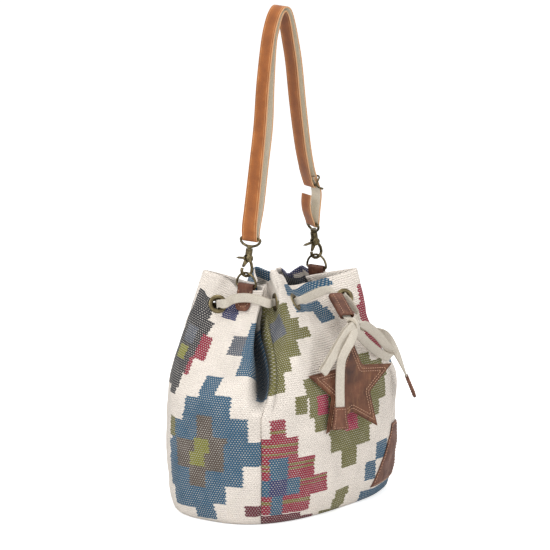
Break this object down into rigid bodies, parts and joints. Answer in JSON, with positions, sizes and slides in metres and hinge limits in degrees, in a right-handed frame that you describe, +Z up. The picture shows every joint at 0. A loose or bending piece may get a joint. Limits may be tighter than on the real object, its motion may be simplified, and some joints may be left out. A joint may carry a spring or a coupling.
{
  "type": "drawstring bucket bag",
  "caption": "Drawstring bucket bag of flat-woven cloth with eyelets, a laced bow, a leather star, and a doubled leather shoulder strap on snap hooks.",
  "frame": {"origin": "centre of the base, on the floor", "axes": "+Z up; +X along the long side, towards the slider end of the strap; the front with the bow and the star faces -Y"},
  "size_m": [0.313, 0.2281, 0.5886],
  "materials": {
    "woven_cotton": "flat-woven, patterned",
    "lining_cotton": "plain woven",
    "antique_brass": "antique",
    "tan_leather": "smooth vegetable tanned",
    "brown_leather": "waxed",
    "flat_lace": "tightly woven"
  },
  "bodies": {
    "bag": {"front_panel": "woven_cotton", "back_panel": "woven_cotton", "left_gusset": "woven_cotton", "right_gusset": "woven_cotton", "base_panel": "woven_cotton", "lining": "lining_cotton", "eyelet_1": "antique_brass", "eyelet_2": "antique_brass", "eyelet_3": "antique_brass", "eyelet_4": "antique_brass", "eyelet_5": "antique_brass", "eyelet_6": "antique_brass", "eyelet_7": "antique_brass", "eyelet_8": "antique_brass", "eyelet_washer_1": "antique_brass", "eyelet_washer_2": "antique_brass", "eyelet_washer_3": "antique_brass", "eyelet_washer_4": "antique_brass", "eyelet_washer_5": "antique_brass", "eyelet_washer_6": "antique_brass", "eyelet_washer_7": "antique_brass", "eyelet_washer_8": "antique_brass", "left_ring_tab": "brown_leather", "right_ring_tab": "brown_leather", "side_patch": "brown_leather", "drawstring": "flat_lace", "cord_keeper": "brown_leather", "bow_knot": "flat_lace", "bow_loop_left": "flat_lace", "bow_loop_right": "flat_lace", "bow_tail_front": "flat_lace", "bow_tail_back": "flat_lace", "tail_tip_front": "brown_leather", "tail_tip_back": "brown_leather"},
    "star": {"star_face": "brown_leather", "star_backing": "brown_leather", "star_hanger": "flat_lace"},
    "left_ring": {"left_d_ring": "antique_brass"},
    "right_ring": {"right_d_ring": "antique_brass"},
    "strap": {"shoulder_strap": "tan_leather", "strap_slider": "antique_brass", "left_swivel_eye": "antique_brass", "right_swivel_eye": "antique_brass"},
    "left_hook": {"left_hook_body": "antique_brass", "left_gate_pin": "antique_brass", "left_gate_spring": "antique_brass"},
    "right_hook": {"right_hook_body": "antique_brass", "right_gate_pin": "antique_brass", "right_gate_spring": "antique_brass"},
    "left_gate": {"left_gate": "antique_brass"},
    "right_gate": {"right_gate": "antique_brass"}
  },
  "joints": [
    {"name": "strap_swing", "type": "hinge", "parent": "bag", "child": "strap", "pos_m": [0, 0, 0.2682], "axis": [1, 0, 0], "range_deg": [-40, 40]},
    {"name": "left_ring_tilt", "type": "hinge", "parent": "bag", "child": "left_ring", "pos_m": [-0.069, 0, 0.2665], "axis": [0, 1, 0], "range_deg": [-4, 4]},
    {"name": "right_ring_tilt", "type": "hinge", "parent": "bag", "child": "right_ring", "pos_m": [0.069, 0, 0.2665], "axis": [0, 1, 0], "range_deg": [-4, 4]},
    {"name": "star_swing", "type": "hinge", "parent": "bag", "child": "star", "pos_m": [-0.0012, -0.1065, 0.2135], "axis": [-0.2921, -0.9554, 0.044], "range_deg": [-2, 5]},
    {"name": "left_hook_swivel", "type": "hinge", "parent": "strap", "child": "left_hook", "pos_m": [-0.069, 0, 0.2822], "axis": [0.2089, 0, 0.9779], "range_deg": [-12, 12]},
    {"name": "left_gate_hinge", "type": "hinge", "parent": "left_hook", "child": "left_gate", "pos_m": [-0.06545, 0, 0.29883], "axis": [-0.3734, -0.9242, 0.0797], "range_deg": [0, 16], "stiffness_Nm_per_rad": 0.01, "springref_deg": -20.05},
    {"name": "right_hook_swivel", "type": "hinge", "parent": "strap", "child": "right_hook", "pos_m": [0.069, 0, 0.2822], "axis": [-0.2089, 0, 0.9779], "range_deg": [-12, 12]},
    {"name": "right_gate_hinge", "type": "hinge", "parent": "right_hook", "child": "right_gate", "pos_m": [0.06545, 0, 0.29883], "axis": [-0.3734, -0.9242, -0.0797], "range_deg": [0, 16], "stiffness_Nm_per_rad": 0.01, "springref_deg": -20.05}
  ]
}
